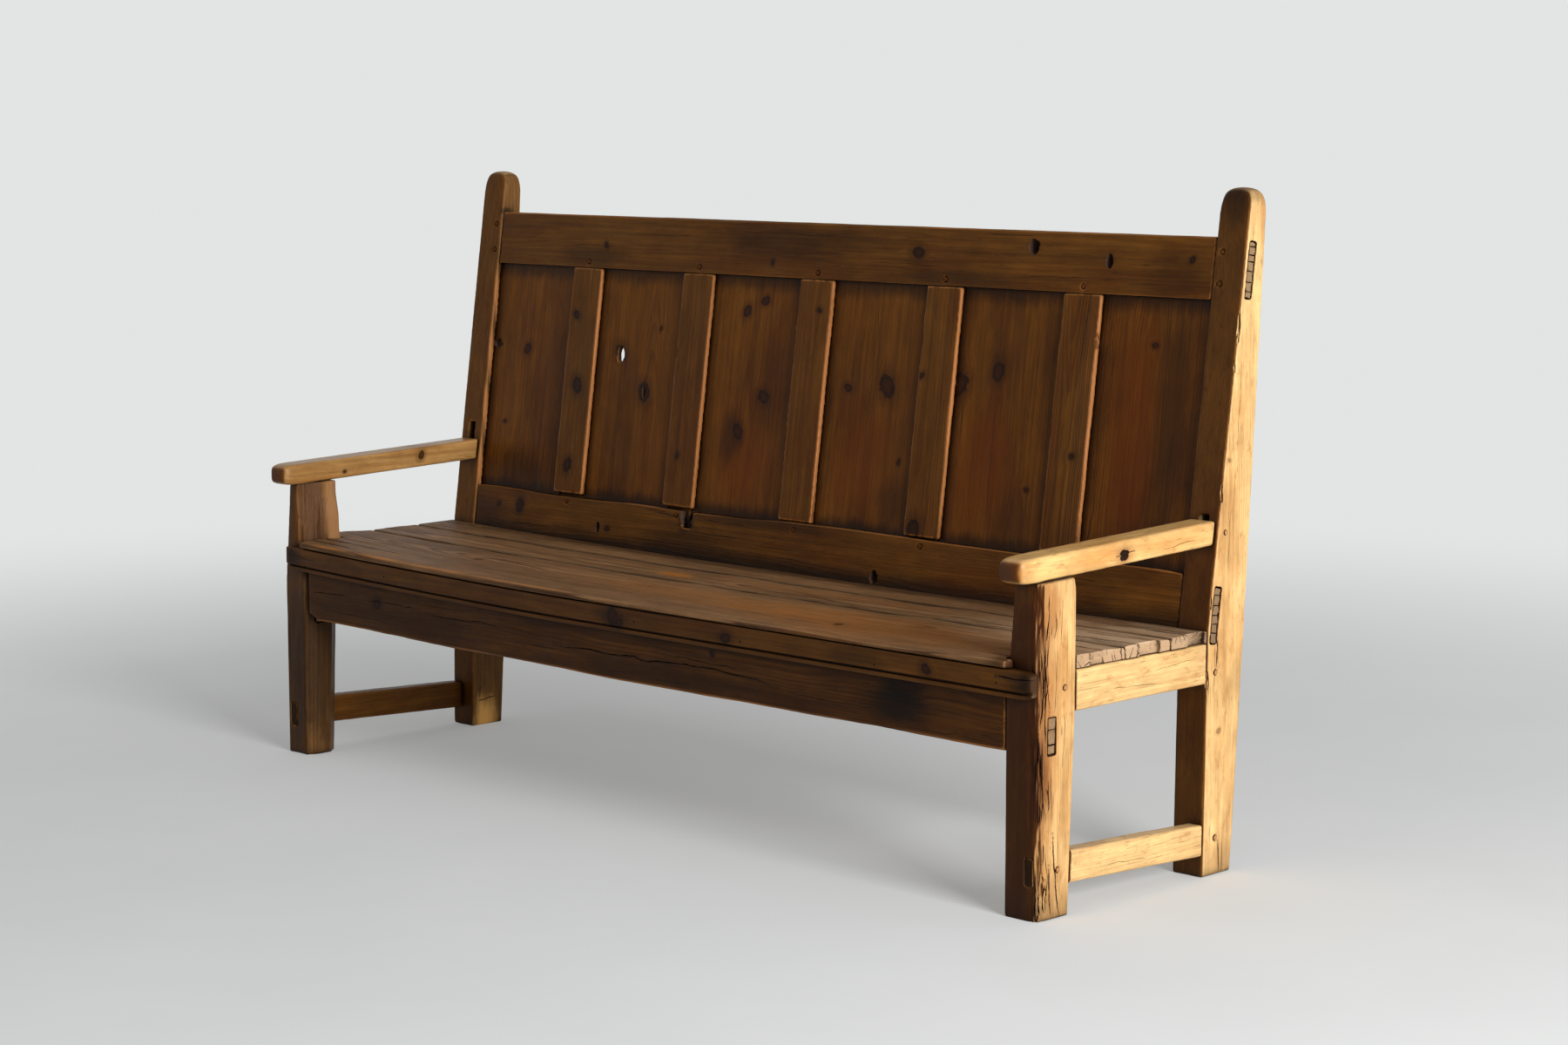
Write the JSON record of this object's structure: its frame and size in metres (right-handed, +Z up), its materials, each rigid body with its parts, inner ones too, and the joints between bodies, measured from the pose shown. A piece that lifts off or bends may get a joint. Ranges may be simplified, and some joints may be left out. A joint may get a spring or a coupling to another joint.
{
  "type": "monks bench",
  "caption": "Long antique pine settle: raked back of fielded frame and plain panels, low arms, plank seat, deep apron with beaded fascia, pegged through tenons.",
  "frame": {"origin": "centre of the bench's outline on the floor, under its feet", "axes": "+X along the seat to a viewer's right who faces the front, +Y from the front to the back, +Z up"},
  "size_m": [1.9612, 0.6156, 1.15],
  "materials": {
    "frame_pine": "worn waxed honey-brown pine",
    "panel_pine": "worn waxed honey-brown pine, planed panels",
    "seat_pine": "worn greyish brown pine, dry and dusty",
    "peg_wood": "dark end grain of the pegs"
  },
  "bodies": {
    "root": {"rear_post_left": "frame_pine", "front_post_left": "frame_pine", "arm_left": "frame_pine", "side_rail_left": "frame_pine", "side_stretcher_left": "frame_pine", "seat_bearer_left": "frame_pine", "rear_post_right": "frame_pine", "front_post_right": "frame_pine", "arm_right": "frame_pine", "side_rail_right": "frame_pine", "side_stretcher_right": "frame_pine", "seat_bearer_right": "frame_pine", "top_rail": "frame_pine", "lower_rail": "frame_pine", "muntin_1": "frame_pine", "muntin_2": "frame_pine", "muntin_3": "frame_pine", "muntin_4": "frame_pine", "muntin_5": "frame_pine", "back_panel_1": "panel_pine", "back_panel_2": "panel_pine", "back_panel_3": "panel_pine", "back_panel_4": "panel_pine", "back_panel_5": "panel_pine", "back_panel_6": "panel_pine", "front_apron": "frame_pine", "front_fascia": "frame_pine", "seat_board_front": "seat_pine", "seat_board_middle": "seat_pine", "seat_board_rear": "seat_pine", "peg_top_rail_low_left": "peg_wood", "peg_top_rail_high_left": "peg_wood", "peg_arm_left": "peg_wood", "peg_side_rail_front_left": "peg_wood", "peg_side_rail_rear_left": "peg_wood", "peg_stretcher_front_left": "peg_wood", "peg_stretcher_rear_left": "peg_wood", "peg_top_rail_low_right": "peg_wood", "peg_top_rail_high_right": "peg_wood", "peg_arm_right": "peg_wood", "peg_side_rail_front_right": "peg_wood", "peg_side_rail_rear_right": "peg_wood", "peg_stretcher_front_right": "peg_wood", "peg_stretcher_rear_right": "peg_wood", "peg_muntin_top_1": "peg_wood", "peg_muntin_bottom_1": "peg_wood", "peg_muntin_top_2": "peg_wood", "peg_muntin_bottom_2": "peg_wood", "peg_muntin_top_3": "peg_wood", "peg_muntin_bottom_3": "peg_wood", "peg_muntin_top_4": "peg_wood", "peg_muntin_bottom_4": "peg_wood", "peg_muntin_top_5": "peg_wood", "peg_muntin_bottom_5": "peg_wood"}
  },
  "joints": []
}
